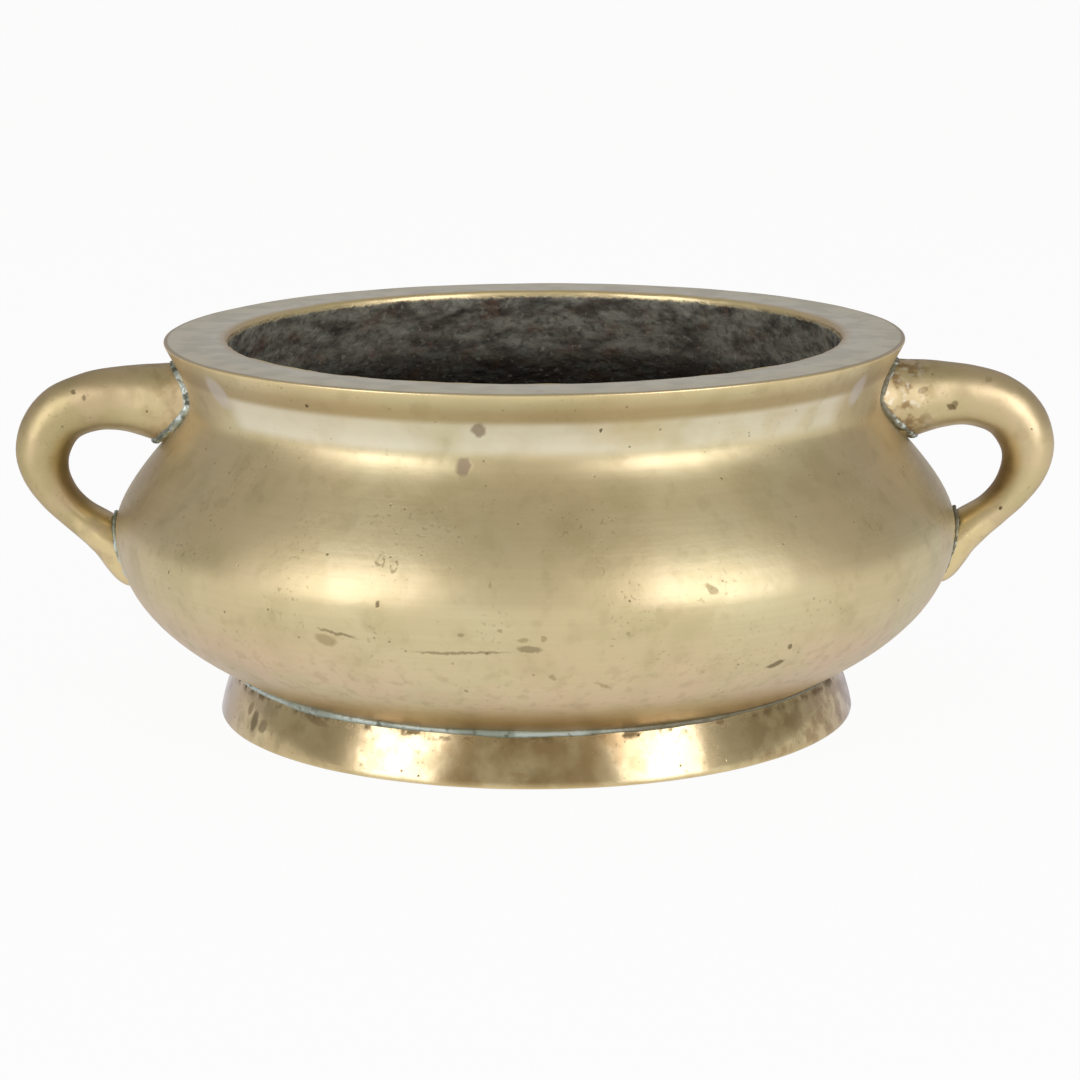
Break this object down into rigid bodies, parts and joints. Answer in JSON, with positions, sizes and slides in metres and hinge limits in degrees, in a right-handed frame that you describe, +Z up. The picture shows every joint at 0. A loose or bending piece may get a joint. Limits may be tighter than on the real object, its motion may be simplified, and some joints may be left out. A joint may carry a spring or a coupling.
{
  "type": "bombe censer",
  "caption": "Squat bulging cast-brass incense bowl with a wide flat lip, a flared foot ring and a pair of tapering loop handles.",
  "frame": {"origin": "Centre of the circle that the foot ring stands on, at table level.", "axes": "+X runs through the right-hand handle, +Y to the back, +Z up along the vessel's axis."},
  "size_m": [0.2134, 0.1718, 0.0775],
  "materials": {
    "cast_brass": "satin-polished cast brass, worn and finely pitted, dark and rough inside",
    "foot_brass": "burnished cast brass, a little darker",
    "handle_brass": "satin-polished cast brass with small pits",
    "solder": "dull oxidised tin solder"
  },
  "bodies": {
    "root": {"vessel_body": "cast_brass", "foot_ring": "foot_brass", "left_handle": "handle_brass", "right_handle": "handle_brass", "foot_solder": "solder", "left_upper_solder": "solder", "left_lower_solder": "solder", "right_upper_solder": "solder", "right_lower_solder": "solder"}
  },
  "joints": []
}
